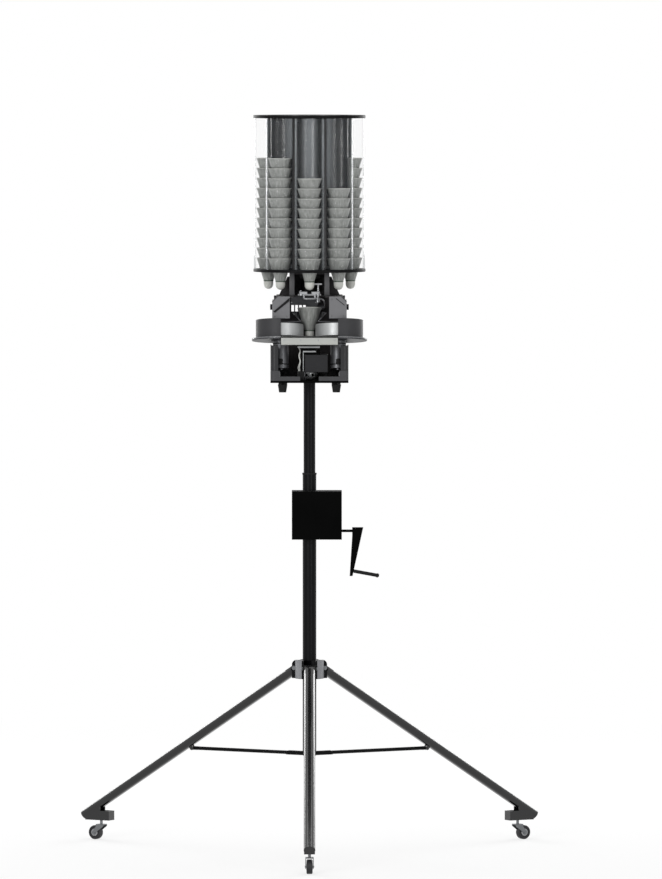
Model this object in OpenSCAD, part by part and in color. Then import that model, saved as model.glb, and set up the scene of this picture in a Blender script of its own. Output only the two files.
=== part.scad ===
// Serving machine for badminton: a crank-up mast on a folding three-leg stand
// with casters carries a throwing head and a turning hopper of shuttle tubes.
// Millimetres, +Z up, the front faces -Y, the origin is under the middle of
// the outline on the floor. Modules are written round the mast axis.

/* [Tripod] */
// Distance from the mast axis to where a caster meets the floor
caster_reach = 704.4; // [640:1:760]
// Height of the leg's centre line at its lower end
leg_end_z = 68.2; // [64:0.1:72]
// Width of the oval leg tube, across the leg
leg_w = 32; // [28:1:34]
// Depth of the oval leg tube
leg_d = 25; // [21:1:27]
// Wall of the leg tube
leg_wall = 2; // [1.2:0.1:3]
// Height of the leg pivots
hub_pivot_z = 515; // [510:1:520]
// Distance of the leg pivots from the mast axis
hub_pivot_r = 38; // [37:0.5:40]
// Thickness of a hub cheek
hub_cheek = 3; // [2:0.5:5]
// Drop of a brace's outer pin below the leg's centre line
lug_drop = 18.6; // [17:0.1:22]
// Diameter of a brace rod
brace_d = 10; // [8:0.5:12]
// Distance from the mast axis to the lug where a brace meets its leg
brace_r = 383; // [370:1:395]
// Distance from the mast axis to the inner end of a brace
spreader_r = 65; // [60:1:70]

/* [Casters] */
// Diameter of a caster wheel
caster_d = 40; // [36:1:42]
// Width of a caster wheel
caster_w = 17; // [14:1:20]
// Trail from the swivel stem to the axle
caster_trail = 18.4; // [14:0.2:22]
// Diameter of the swivel stem
stem_d = 8; // [6:0.5:10]

/* [Mast] */
// Outside diameter of the fixed outer tube
outer_d = 38.4; // [37:0.2:40]
// Wall of the outer tube
outer_wall = 1.5; // [1.2:0.1:1.6]
// Outside diameter of the lifting inner tube
inner_d = 33; // [32:0.2:33.4]
// Wall of the inner tube
inner_wall = 2; // [1.5:0.1:2.5]
// Height of the top end of the outer tube
outer_top = 1060; // [1045:1:1075]

/* [Winch] */
// Height of the bottom of the winch box
winch_z = 880; // [870:1:885]
// Height of the winch box
winch_h = 135; // [125:1:145]
// Left edge of the winch box, from the mast axis
winch_left = 49.5; // [45:0.5:60]
// Right edge of the winch box, from the mast axis
winch_right = 90.7; // [85:0.1:95]
// Wall of the winch box
winch_wall = 2; // [1.5:0.5:3]
// Teeth of the pinion that drives the rack
rack_pinion_teeth = 14; // [13:1:15]
// Teeth of the large winch gear
winch_gear_teeth = 36; // [32:1:38]
// Teeth of the small gear on the crank shaft
crank_gear_teeth = 12; // [12:1:14]
// Length of the crank arm between its shaft and its lower end
crank_len = 127; // [110:1:135]
// Length of the crank grip
grip_len = 70; // [55:1:80]

/* [Head] */
// Gap between a throwing motor and the side panel
motor_gap = 4.5; // [3:0.5:8]
// Height of the underside of the base plate
base_z = 1325; // [1318:1:1330]
// Height of the lower body above the base plate
body_h = 99; // [90:1:100]
// Front of the lower body, ahead of the mast axis
body_front = 186; // [184:1:195]
// Rear of the lower body, behind the mast axis
body_rear = 45; // [40:1:60]
// Height of the tilt bolts above the underside of the base plate
tilt_up = 210; // [208:1:212]
// Pitch of the throwing unit at rest, nose up, degrees
tilt_rest = 7; // [5:0.5:8]

/* [Throwing wheels] */
// Diameter of a throwing wheel
throw_d = 127; // [122:1:129]
// Height of a throwing wheel
throw_h = 36; // [30:1:37]
// Gap between the two wheels
nip = 33; // [30:1:36]

/* [Hopper] */
// Diameter of the hopper discs
hopper_d = 315; // [314:1:330]
// Height of the bottom disc above the deck
hopper_up = 68; // [66:1:72]
// Thickness of a hopper disc
disc_t = 8; // [6:1:9]
// Length of the shuttle tubes
tube_len = 423; // [405:1:440]
// Distance of the tube axes from the hopper axis
tube_pitch_r = 115; // [113:0.5:116]
// Outside diameter of a shuttle tube
tube_d = 82; // [78:0.5:84]
// Wall of a shuttle tube
tube_wall = 2; // [1.5:0.1:3]

/* [Shuttles] */
// Diameter of the cork
cork_d = 27; // [25:0.5:28]
// Diameter of the skirt at its open end
skirt_d = 68; // [62:0.5:70]
// Length of a shuttle
shuttle_len = 88; // [82:1:92]
// Step from one stacked shuttle to the next
stack_pitch = 28; // [26:0.5:30]

/* [Hidden] */

// Directions of the legs: front, right, left
LEG_AZIMUTH = [-90, 30, 150];
// Legs and their clevises
leg_hole_clear = 0.4;                          // side gap of a leg in its cheeks
leg_over = 37.6;                               // the leg tube ends this far past the caster
leg_axis_end = caster_reach + leg_over;
leg_slope = atan((hub_pivot_z - leg_end_z) / (leg_axis_end - hub_pivot_r));
leg_c = cos(leg_slope);
leg_s = sin(leg_slope);
brace_z = hub_pivot_z - ((brace_r - hub_pivot_r) * leg_s + lug_drop) / leg_c;
leg_len = (leg_axis_end - hub_pivot_r) / leg_c;
leg_tube_start = 14;                           // from the pivot to the tube's upper end
leg_flat = (leg_w - leg_d) / 2;                // half of the flat of the oval
hub_bottom = 486;
hub_top = 538;
hub_reach = 50;
hub_core_r = 40;
hub_slot_r = 25.6;
hub_round = 14;
slot_w = leg_w + 2 * leg_hole_clear;
tongue_r = 11;
bolt_d = 8;
bolt_head_r = 6;
fit = 0.08;                                    // radial running clearance

// Braces and the lugs that hold them under the legs
brace_w = 6;                                   // thickness of the flattened outer end
brace_flat = 16;
brace_eye_r = 5;
brace_side_gap = 0.5;
lug_t = 2.5;
lug_pin_d = 4;
brace_u = (brace_r - hub_pivot_r) * leg_c + (hub_pivot_z - brace_z) * leg_s;
brace_v = -lug_drop;

// Spreader: each brace end lies in a slot that is open outward and below
spreader_h = 11;
spreader_cheek = 2;
spreader_core_r = 19;
spreader_slot_in = 46;
spreader_out = spreader_r + 7;

// Casters
caster_r = caster_d / 2;
stem_r = caster_reach - caster_trail;
axle_d = 5;
fork_t = 2;
fork_gap = 1;                                  // each side of the wheel
fork_half = caster_w / 2 + fork_gap;
fork_crown_z = caster_d + 1.2;
fork_crown_t = 3;
bracket_bottom = 56;
bracket_top = 83;
bracket_in = stem_r - 34;
bracket_out = stem_r + 45;
bracket_w = 30;
bracket_t = 2.5;
bracket_floor = 4;

// The outline on the floor is set by the leg tips, so the mast stands behind it
tip_up = leg_d / 2 * leg_s;
front_reach = leg_axis_end + tip_up;
rear_reach = leg_axis_end / 2 + leg_flat * cos(30)
    + leg_d / 2 * sqrt(pow(leg_s / 2, 2) + pow(cos(30), 2));
mast_y = (front_reach - rear_reach) / 2;

// Mast
outer_r = outer_d / 2;
outer_ir = outer_r - outer_wall;
outer_bottom = brace_z + spreader_h / 2 + 0.5;
inner_r = inner_d / 2;
inner_ir = inner_r - inner_wall;
inner_bottom = 380;
bush_ir = inner_r + fit;
bush_flange_r = 20.4;
bush_flange_t = 5;
bush_depth = 45;
glide_len = 40;

// Rack and gears: full-depth involute teeth at 25 degrees
pressure = 25;
rack_m = 2;
gear_m = 1.5;
backlash = 0.3;
rack_w = 8;
rack_pitch_y = 13.5;                           // rack pitch line, ahead of the axis
rack_back_y = 7;
rack_bottom = 400;
rack_top = 990;
rack_pinion_r = rack_m * rack_pinion_teeth / 2;
winch_gear_r = gear_m * winch_gear_teeth / 2;
crank_gear_r = gear_m * crank_gear_teeth / 2;
shaft_y = -(rack_pitch_y + rack_pinion_r);
pinion_z = winch_z + 59;
crank_z = pinion_z - winch_gear_r - crank_gear_r;
pinion_w = 7;
gear_x = 30;
gear_w = 8;
pinion_shaft_d = 10;
crank_shaft_d = 7.6;
bush_t = 2;                                    // wall of a shaft bush
winch_front = 62;
winch_rear = 26;
window_h = 29;
window_w = 10;

// Crank
crank_x = 120;                                 // left face of the arm at its hub
crank_top_w = 31;
crank_low_x = 113;
crank_low_w = 8;
crank_t = 11;
crank_pin_up = 14;                             // pin height above the arm's lower end
crank_pin_d = 5;
crank_pin_slope = 10.4;
grip_d = 10;

// Head
panel_t = 2.5;
motor_r = 22;
wheel_r = throw_d / 2;
wheel_x = nip / 2 + wheel_r;
body_w = 2 * (wheel_x + motor_r + motor_gap + panel_t);
head_side = body_w / 2;
tilt_z = base_z + tilt_up;
plate_t = 6;
tray_h = 28;
tray_t = 3;
tray_front_h = 12;
tray_notch = 26;                               // half width of the gap in the tray's front
post_r = 9;
panel_return = 22;
panel_step = 22;                               // drop of the panel's top edge behind its middle
socket_r = 20;
socket_z = base_z + plate_t;
socket_depth = 18;
socket_cap = 4;
inner_top = socket_z + socket_depth;
foot_top_r = 13.5;
foot_low_r = 10;
foot_h = 22;
foot_neck = 5;
foot_x = 75;
foot_front = body_front - 26;
foot_rear = body_rear - 12;
frame_y = socket_r + 4;                        // bulkhead behind the mast socket
frame_t = 3;
frame_half = 75;
frame_wide = 100;
deck_z = tilt_z + 28;
deck_t = 3;
hopper_z = deck_z + hopper_up;
cheek_low = tilt_z - 30;
cheek_half = 104;
cheek_in = 55;
cheek_t = 3;
cheek_front = tube_pitch_r + 58;
cheek_chamfer = 14;
deck_cut = (frame_wide - cheek_half + cheek_chamfer - deck_t / 2) / sqrt(2);
tilt_bolt_d = 8;
tower_half = 56;
tower_t = 3;
tower_front = 68;
tower_top = hopper_z - 1.5;
tower_cap = 5;
hopper_shaft_d = 12;
slot_n = 4;
vent_w = 7.6;
vent_pitch = 11;
vent_h = 21;
vent_z = tilt_z - 17;
vent_x = -51;

// Throwing unit, in its own level frame whose origin is the tilt axis
throw_y = -tube_pitch_r;
flange_top = -89;
flange_t = 6;
flange_r = 81;
wheel_low = flange_top + 4;
guard_in = 67;
guard_out = 70;
guard_h = 52;
lip_half = 79;
lip_top = -96;
lip_h = 17;
lip_t = 4;
throw_deck_z = wheel_low + throw_h + 4;
throw_deck_t = 3;
ear_x = 93;
ear_t = 4;
ear_half = 15;
riser_y = 72;
riser_half = 60;
ear_strip = 80;                                // depth of the strip that carries the ears
motor_len = 78;
motor_shaft_d = 8;
funnel_top_r = 46;
funnel_top = -15;
funnel_t = 2;
funnel_open = 35;                              // half width of its open front
loaded_y = 21;                                 // the waiting shuttle stands behind the nip

// Feed
claw_h = 7;
claw_under = 4;                                // gap below the tips of the hanging corks
claw_pin_x = 24;
claw_pin_y = -84;
claw_jaw = 7;                                  // reach of the jaw behind the cork's axis
claw_hook = 8;                                 // reach of the tip in front of the cork
claw_t = 4;
claw_gap = 0.8;                                // between a finger and the cork
claw_pin_d = 5;
claw_boss_r = 4.5;
claw_eye_r = 5.5;
drop_half = 44;                                // half width of the shuttle's way through the deck
drop_rear = 80;                                // its rear edge, ahead of the mast axis
spindle_low = deck_z - 15;                     // ends of the right claw's long pin
spindle_top = deck_z + 37;
spindle_bar = 21;
feed_y = -20;
feed_z = tilt_z - 4;
feed_r = 6.5;
feed_left = -9;
feed_len = 50;
feed_right = 24;                               // right edge of the actuator's plate

// Hopper
hopper_r = hopper_d / 2;
tube_or = tube_d / 2;
tube_ir = tube_or - tube_wall;
tubes_z = hopper_z + disc_t;
hopper_top = tubes_z + tube_len;
core_r = 116;
core_wall = 3;
core_gap = 0.4;
cork_h = stack_pitch - 0.3;
skirt_t = 1;
skirt_low = 24;                                // cork height where the skirt starts
skirt_k = (skirt_d / 2 - cork_d / 2) / (shuttle_len - skirt_low);
hang = 57;                                     // cork tip to the top of the bottom disc
hole_r = cork_d / 2 + skirt_k * (hang - skirt_low) + 0.3;
deck_hole_r = cork_d / 2 + skirt_k * (throw_deck_z + throw_deck_t - flange_top - skirt_low) + 2;
shuttle_z = tubes_z - hang;
claw_z = shuttle_z - claw_under - claw_h;
shaft_drop = 30;                               // reach of the hopper shaft below the disc
// Shuttles in each tube, from the front tube on toward +X
STACK = [9, 8, 11, 11, 10, 11, 11, 11];

// Places the stand and head behind the outline's middle
module at_mast() { translate([0, mast_y, 0]) children(); }

// Turns a piece drawn along +X to the leg at this azimuth
module toward(azimuth) { rotate([0, 0, azimuth]) children(); }

// A leg's own frame: origin on its pivot, X down along the leg
module leg_frame() {
    translate([hub_pivot_r, 0, hub_pivot_z]) rotate([0, leg_slope, 0]) children();
}

// A round bar across Y
module across(r, len) { rotate([90, 0, 0]) cylinder(r = r, h = len, center = true, $fn = 48); }

// A round bar along X from x0
module along(x0, r, len) {
    translate([x0, 0, 0]) rotate([0, 90, 0]) cylinder(r = r, h = len, $fn = 48);
}

// An outline in X and Z, made thick along Y about the middle
module upright(t) { rotate([90, 0, 0]) linear_extrude(t, center = true) children(); }

// The oval of the leg tube, deep along X and wide along Y
module oval(w, d) {
    square([d, w - d], center = true);
    for (s = [-1, 1]) translate([0, s * (w - d) / 2]) circle(d = d, $fn = 64);
}

// A rectangle with round corners, centred
module round_rect(w, h, r) {
    square([w - 2 * r, h], center = true);
    square([w, h - 2 * r], center = true);
    for (x = [-1, 1], y = [-1, 1])
        translate([x * (w / 2 - r), y * (h / 2 - r)]) circle(r = r, $fn = 32);
}

// Roll angle of an involute at radius r, its polar angle, and one flank point
function roll(rb, r) = sqrt(max(pow(r / rb, 2) - 1, 0)) * 180 / PI;
function inv(rb, r) = roll(rb, r) - atan(roll(rb, r) * PI / 180);
function polar(r, a) = [r * cos(a), r * sin(a)];

// Outline of a spur gear with a tooth centred on +X
module gear_outline(m, n) {
    rp = m * n / 2;
    rb = rp * cos(pressure);
    ra = rp + m;
    rf = rp - 1.25 * m;
    start = max(rb, rf);
    steps = 4;
    half = 90 / n - backlash / 2 / rp * 180 / PI + inv(rb, rp);
    flank = [for (i = [0:steps]) start + (ra - start) * i / steps];
    polygon([for (k = [0:n - 1]) let (a = 360 * k / n) each concat(
        [polar(rf, a - half)],
        [for (r = flank) polar(r, a - half + inv(rb, r))],
        [for (i = [0:steps]) let (r = flank[steps - i]) polar(r, a + half - inv(rb, r))],
        [polar(rf, a + half)])]);
}

// Outer tube with the window where the pinion reaches the rack
module mast_outer() {
    color("#161617") at_mast() difference() {
        translate([0, 0, outer_bottom])
            cylinder(r = outer_r, h = outer_top - outer_bottom, $fn = 96);
        translate([0, 0, outer_bottom - 1])
            cylinder(r = outer_ir, h = outer_top - outer_bottom + 2, $fn = 96);
        translate([-window_w / 2, -outer_r - 1, pinion_z - window_h / 2])
            cube([window_w, outer_r, window_h]);
    }
}

// Flanged bush that guides the inner tube
module mast_top_bush() {
    color("#0e0e0f") at_mast() difference() {
        union() {
            translate([0, 0, outer_top]) cylinder(r = bush_flange_r, h = bush_flange_t, $fn = 96);
            translate([0, 0, outer_top - bush_depth])
                cylinder(r = outer_ir, h = bush_depth + 1, $fn = 96);
        }
        translate([0, 0, outer_top - bush_depth - 1])
            cylinder(r = bush_ir, h = bush_depth + bush_flange_t + 2, $fn = 96);
        bush_slot();
    }
}

// The rack never reaches the bush when lowered, but does when raised
module bush_slot() {
    translate([-rack_w / 2 - 0.5, -outer_r, outer_top - bush_depth - 1])
        cube([rack_w + 1, outer_r - rack_back_y, bush_depth + 1]);
}

// Hub profile: a tall ring with round upper corners
module hub_profile(r, round) {
    difference() {
        translate([outer_r, hub_bottom]) square([r - outer_r, hub_top - hub_bottom]);
        translate([r - round, hub_top - round]) square(round + 1);
    }
    intersection() {
        translate([r - round, hub_top - round]) circle(r = round, $fn = 48);
        translate([r - round, hub_top - round]) square(round);
    }
}

// Three clevises round the mast, joined by the round core between them
module leg_hub() {
    cheek_out = slot_w / 2 + hub_cheek;
    color("#6d6e70") at_mast() difference() {
        union() {
            rotate_extrude($fn = 96) hub_profile(hub_core_r, 3);
            for (a = LEG_AZIMUTH) toward(a) intersection() {
                rotate_extrude($fn = 96) hub_profile(hub_reach, hub_round);
                translate([0, -cheek_out, hub_bottom])
                    cube([hub_reach + 1, 2 * cheek_out, hub_top - hub_bottom]);
            }
        }
        translate([0, 0, hub_bottom - 1]) cylinder(r = outer_r, h = 60, $fn = 96);
        for (a = LEG_AZIMUTH) toward(a) {
            translate([hub_slot_r, -slot_w / 2, hub_bottom - 1]) cube([40, slot_w, 60]);
            translate([hub_pivot_r, 0, hub_pivot_z]) {
                across(bolt_d / 2, 2 * cheek_out + 1);
                for (s = [-1, 1]) translate([0, s * (cheek_out + 5), 0]) across(bolt_head_r + 0.3, 10);
            }
        }
    }
}

// One bolt through each clevis, with a head and a nut
module leg_pivot_bolts() {
    cheek_out = slot_w / 2 + hub_cheek;
    color("#b9babc") at_mast() for (a = LEG_AZIMUTH)
        toward(a) translate([hub_pivot_r, 0, hub_pivot_z]) {
            across(bolt_d / 2, 2 * cheek_out + 2);
            for (s = [-1, 1])
                translate([0, s * (cheek_out + 2), 0]) across(bolt_head_r, 4);
        }
}

// Leg: oval tube, pivot tongue, brace lug with its pin, and the caster bracket
module leg(azimuth) {
    bore_start = leg_tube_start - 1;
    color("#1c1c1e") at_mast() toward(azimuth) difference() {
        union() {
            leg_frame() {
                difference() {
                    translate([leg_tube_start, 0, 0]) rotate([0, 90, 0])
                        linear_extrude(leg_len - leg_tube_start) oval(leg_w, leg_d);
                    translate([bore_start, 0, 0]) rotate([0, 90, 0])
                        linear_extrude(leg_len - bore_start - 3)
                            oval(leg_w - 2 * leg_wall, leg_d - 2 * leg_wall);
                }
                tongue_h = leg_d - 2 * leg_wall;
                translate([0, -leg_w / 2 + leg_wall + 2, -tongue_h / 2])
                    cube([leg_tube_start + 20, leg_w - 2 * leg_wall - 4, tongue_h]);
                across(tongue_r, leg_w);
                brace_lug();
            }
            caster_bracket();
        }
        leg_frame() across(bolt_d / 2 + fit, leg_w + 2);
    }
}

// Two cheeks under the leg with a riveted pin for the brace eye
module brace_lug() {
    inner = brace_w / 2 + brace_side_gap;
    for (s = [-1, 1]) translate([0, s * (inner + lug_t / 2), 0]) {
        translate([brace_u, 0, brace_v]) across(6, lug_t);
        translate([brace_u - 6, -lug_t / 2, brace_v]) cube([12, lug_t, -brace_v - leg_d / 2 + 1]);
    }
    translate([brace_u, 0, brace_v]) across(lug_pin_d / 2, 2 * (inner + lug_t) + 1.5);
}

// Height of the leg's centre line
function leg_axis_z(r) = hub_pivot_z - (r - hub_pivot_r) * tan(leg_slope);

// Channel under the leg's lower end that takes the caster stem
module caster_bracket() {
    for (s = [-1, 1])
        translate([0, s * (bracket_w - bracket_t) / 2, 0]) upright(bracket_t) polygon([
            [bracket_in, bracket_bottom], [bracket_out, bracket_bottom],
            [bracket_out, leg_axis_z(bracket_out)], [bracket_in + 30, leg_axis_z(bracket_in + 30)],
            [bracket_in + 30, bracket_top], [bracket_in, bracket_top]]);
    translate([bracket_in, -bracket_w / 2, bracket_bottom])
        cube([bracket_t, bracket_w, bracket_top - bracket_bottom]);
    difference() {
        translate([bracket_in, -bracket_w / 2, bracket_bottom])
            cube([bracket_out - bracket_in, bracket_w, bracket_floor]);
        translate([stem_r, 0, bracket_bottom - 1])
            cylinder(r = stem_d / 2 + fit, h = bracket_floor + 2, $fn = 48);
    }
}

module leg_front() { leg(LEG_AZIMUTH[0]); }
module leg_right() { leg(LEG_AZIMUTH[1]); }
module leg_left() { leg(LEG_AZIMUTH[2]); }

// Brace: a round rod with a flattened eye outside and a plain end inside
module brace(azimuth) {
    color("#0c0c0d") at_mast() toward(azimuth) translate([0, 0, brace_z]) difference() {
        union() {
            along(spreader_r - brace_eye_r, brace_d / 2, brace_r - brace_flat - spreader_r + brace_eye_r);
            translate([brace_r - brace_flat - 2, -brace_w / 2, -brace_eye_r])
                cube([brace_flat + 2, brace_w, 2 * brace_eye_r]);
            translate([brace_r, 0, 0]) across(brace_eye_r, brace_w);
        }
        translate([brace_r, 0, 0]) across(lug_pin_d / 2 + fit, brace_w + 2);
    }
}
module brace_front() { brace(LEG_AZIMUTH[0]); }
module brace_right() { brace(LEG_AZIMUTH[1]); }
module brace_left() { brace(LEG_AZIMUTH[2]); }

// Star under the mast foot: a core and three forked arms for the brace ends
module spreader() {
    inner = brace_d / 2 + brace_side_gap;
    color("#101011") at_mast() translate([0, 0, brace_z]) {
        cylinder(r = spreader_core_r, h = spreader_h, center = true, $fn = 64);
        for (a = LEG_AZIMUTH) toward(a) {
            arm = spreader_out - spreader_core_r + 3;
            for (s = [-1, 1])
                translate([spreader_core_r - 3 + arm / 2, s * (inner + spreader_cheek / 2), 0])
                    cube([arm, spreader_cheek, spreader_h], center = true);
            web = spreader_slot_in - spreader_core_r + 3;
            translate([spreader_core_r - 3 + web / 2, 0, 0])
                cube([web, 2 * inner + 1, spreader_h], center = true);
        }
    }
}

// Caster fork: swivel stem with its nut, crown, two cheeks and the axle
module caster_fork(azimuth) {
    color("#8e9092") at_mast() toward(azimuth) {
        translate([stem_r, 0, fork_crown_z])
            cylinder(d = stem_d, h = bracket_bottom + bracket_floor + 8 - fork_crown_z, $fn = 48);
        translate([stem_r, 0, bracket_bottom + bracket_floor + 0.3])
            cylinder(r = 6.5, h = 5, $fn = 6);
        translate([stem_r - 12, -fork_half - fork_t, fork_crown_z])
            cube([24, 2 * (fork_half + fork_t), fork_crown_t]);
        for (s = [-1, 1]) translate([0, s * (fork_half + fork_t / 2), 0]) {
            upright(fork_t) polygon([
                [stem_r - 12, fork_crown_z + fork_crown_t], [stem_r + 12, fork_crown_z + fork_crown_t],
                [stem_r + 12, fork_crown_z - 4], [caster_reach + 6.5, caster_r],
                [caster_reach - 6.5, caster_r], [stem_r - 12, fork_crown_z - 3]]);
            translate([caster_reach, 0, caster_r]) across(6.5, fork_t);
        }
        translate([caster_reach, 0, caster_r]) across(axle_d / 2, 2 * (fork_half + fork_t) + 3);
    }
}
module caster_fork_front() { caster_fork(LEG_AZIMUTH[0]); }
module caster_fork_right() { caster_fork(LEG_AZIMUTH[1]); }
module caster_fork_left() { caster_fork(LEG_AZIMUTH[2]); }

// Caster wheel: a tread with eased edges and dished sides
module caster_wheel(azimuth) {
    half = caster_w / 2;
    ease = 2;
    color("#2c2c2e") at_mast() toward(azimuth) translate([caster_reach, 0, caster_r])
        rotate([90, 0, 0]) rotate_extrude($fn = 96) polygon([
            [axle_d / 2 + fit, -half], [caster_r - 9, -half], [caster_r - 9, -half + 2],
            [caster_r - 5, -half + 2], [caster_r - 5, -half], [caster_r - ease, -half],
            [caster_r, -half + ease], [caster_r, half - ease], [caster_r - ease, half],
            [caster_r - 5, half], [caster_r - 5, half - 2], [caster_r - 9, half - 2],
            [caster_r - 9, half], [axle_d / 2 + fit, half]]);
}
module caster_wheel_front() { caster_wheel(LEG_AZIMUTH[0]); }
module caster_wheel_right() { caster_wheel(LEG_AZIMUTH[1]); }
module caster_wheel_left() { caster_wheel(LEG_AZIMUTH[2]); }

// Winch box: closed in front, open behind, with holes for the mast and shafts
module winch_housing() {
    w = winch_left + winch_right;
    d = winch_front + winch_rear;
    color("#060606") at_mast() difference() {
        translate([-winch_left, -winch_front, winch_z]) cube([w, d, winch_h]);
        translate([-winch_left + winch_wall, -winch_front + winch_wall, winch_z + winch_wall])
            cube([w - 2 * winch_wall, d, winch_h - 2 * winch_wall]);
        translate([0, 0, winch_z - 1]) cylinder(r = outer_r, h = winch_h + 2, $fn = 96);
        for (z = [pinion_z, crank_z], x = [-winch_left - 1, winch_right - winch_wall - 1])
            translate([0, shaft_y, z]) along(x, shaft_hole(z), winch_wall + 2);
    }
}
function shaft_hole(z) = (z == pinion_z ? pinion_shaft_d : crank_shaft_d) / 2 + fit + bush_t;

// Rear cover, let into the box, with its four screws
module winch_cover() {
    w = winch_left + winch_right - 2 * winch_wall;
    inset = 10;
    color("#0a0a0b") at_mast() {
        translate([-winch_left + winch_wall, winch_rear - winch_wall, winch_z + winch_wall])
            cube([w, winch_wall, winch_h - 2 * winch_wall]);
        for (x = [-winch_left + inset, winch_right - inset], z = [winch_z + inset, winch_z + winch_h - inset])
            translate([x, winch_rear + 1, z]) across(4, 2);
    }
}

// Flanged bushes of the two winch shafts
module winch_bushes() {
    color("#b08d4c") at_mast() for (z = [pinion_z, crank_z])
        translate([0, shaft_y, z]) for (side = [-1, 1]) {
            bore = shaft_hole(z) - bush_t;
            wall_in = side < 0 ? -winch_left : winch_right - winch_wall;
            flange_x = side < 0 ? wall_in + winch_wall : wall_in - 3;
            difference() {
                union() {
                    along(wall_in, shaft_hole(z), winch_wall);
                    along(flange_x, shaft_hole(z) + 2, 3);
                }
                along(wall_in - 5, bore, winch_wall + 10);
            }
        }
}

// Rack pinion and large gear on one shaft
module rack_pinion() {
    color("#8b8d90") at_mast() translate([0, shaft_y, pinion_z]) {
        along(-winch_left, pinion_shaft_d / 2, winch_left + winch_right);
        rotate([90, 0, 90]) translate([0, 0, -pinion_w / 2])
            linear_extrude(pinion_w) gear_outline(rack_m, rack_pinion_teeth);
        translate([gear_x, 0, 0]) rotate([90, 0, 90]) linear_extrude(gear_w)
            rotate(-90) gear_outline(gear_m, winch_gear_teeth);
        along(gear_x - 6, pinion_shaft_d / 2 + 4, 6);
    }
}

// Crank shaft with its small gear
module crank_shaft() {
    color("#77797c") at_mast() translate([0, shaft_y, crank_z]) {
        along(-winch_left, crank_shaft_d / 2, winch_left + crank_x);
        translate([gear_x - 1, 0, 0]) rotate([90, 0, 90]) linear_extrude(gear_w + 2)
            rotate(90 + 180 / crank_gear_teeth) gear_outline(gear_m, crank_gear_teeth);
    }
}

// Wedge-shaped crank arm with the pin of its grip
module crank_arm() {
    top = crank_z + 10;
    low = crank_z - crank_len;
    color("#0b0b0c") at_mast() translate([0, shaft_y, 0]) {
        upright(crank_t) polygon([
            [crank_x, top], [crank_x + crank_top_w, top],
            [crank_low_x + crank_low_w, low], [crank_low_x, low],
            [crank_x, crank_z - 14]]);
        crank_pin_frame() {
            along(-4, crank_pin_d / 2, grip_len + 6);
            along(grip_len + 1.3, crank_pin_d / 2 + 1.5, 2);
        }
    }
}
module crank_pin_frame() {
    translate([crank_low_x + crank_low_w + 2.4, 0, crank_z - crank_len + crank_pin_up])
        rotate([0, crank_pin_slope, 0]) children();
}

// Grip that turns on the crank's pin
module crank_grip() {
    color("#111112") at_mast() translate([0, shaft_y, 0]) crank_pin_frame() difference() {
        union() {
            along(1, grip_d / 2, grip_len);
            along(grip_len - 4, grip_d / 2 + 1, 5);
        }
        along(0, crank_pin_d / 2 + fit, grip_len + 2);
    }
}

// Inner tube, slotted in front for the rack
module mast_inner() {
    color("#1b1b1d") at_mast() difference() {
        translate([0, 0, inner_bottom])
            cylinder(r = inner_r, h = inner_top - inner_bottom, $fn = 96);
        translate([0, 0, inner_bottom - 1])
            cylinder(r = inner_ir, h = inner_top - inner_bottom - 3, $fn = 96);
        translate([-rack_w / 2, -inner_r - 1, inner_bottom - 1])
            cube([rack_w, inner_r, rack_top - inner_bottom + 1]);
    }
}

// Rack in the inner tube's slot: its tips stay inside the tube's outline
module mast_rack() {
    pitch = PI * rack_m;
    tip_y = rack_pitch_y + rack_m;
    root_y = rack_pitch_y - 1.25 * rack_m;
    half_pitch = pitch / 4 - backlash / 4;
    half_tip = half_pitch - rack_m * tan(pressure);
    half_root = half_pitch + 1.25 * rack_m * tan(pressure);
    below = floor((pinion_z - rack_bottom) / pitch);
    above = floor((rack_top - pinion_z) / pitch);
    color("#7f8184") at_mast() translate([-rack_w / 2, 0, 0]) rotate([90, 0, 90])
        linear_extrude(rack_w) polygon(concat(
            [[-rack_back_y, rack_top], [-rack_back_y, rack_bottom], [-root_y, rack_bottom]],
            [for (k = [-below:above - 1]) let (z = pinion_z + (k + 0.5) * pitch) each [
                [-root_y, z - half_root], [-tip_y, z - half_tip],
                [-tip_y, z + half_tip], [-root_y, z + half_root]]],
            [[-root_y, rack_top]]));
}

// Glide bush at the inner tube's lower end, inside the outer tube
module mast_glide_bush() {
    color("#d8d8d4") at_mast() difference() {
        translate([0, 0, inner_bottom]) cylinder(r = outer_ir - fit, h = glide_len, $fn = 96);
        translate([0, 0, inner_bottom - 1]) cylinder(r = inner_r, h = glide_len + 2, $fn = 96);
        translate([-rack_w / 2 - 1, -outer_r, inner_bottom - 1])
            cube([rack_w + 2, outer_r, glide_len + 2]);
    }
}

// Cup in the base plate that turns on the mast's top
module head_socket() {
    color("#8d8f91") at_mast() difference() {
        translate([0, 0, socket_z]) cylinder(r = socket_r, h = inner_top + socket_cap - socket_z, $fn = 96);
        translate([0, 0, socket_z - 1]) cylinder(r = inner_r + fit, h = inner_top - socket_z + 1, $fn = 96);
    }
}

// Base plate with the hole for the mast
module base_plate() {
    color("#0c0c0d") at_mast() difference() {
        translate([0, (body_rear - body_front) / 2, base_z]) linear_extrude(plate_t)
            round_rect(body_w, body_front + body_rear, 12);
        translate([0, 0, base_z - 1]) cylinder(r = inner_r + 0.5, h = plate_t + 2, $fn = 96);
        for (p = foot_places()) translate([p[0], p[1], base_z - 1])
            cylinder(d = 6, h = plate_t + 2, $fn = 32);
    }
}
function foot_places() = [for (x = [-foot_x, foot_x], y = [-foot_front, foot_rear]) [x, y]];

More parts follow.
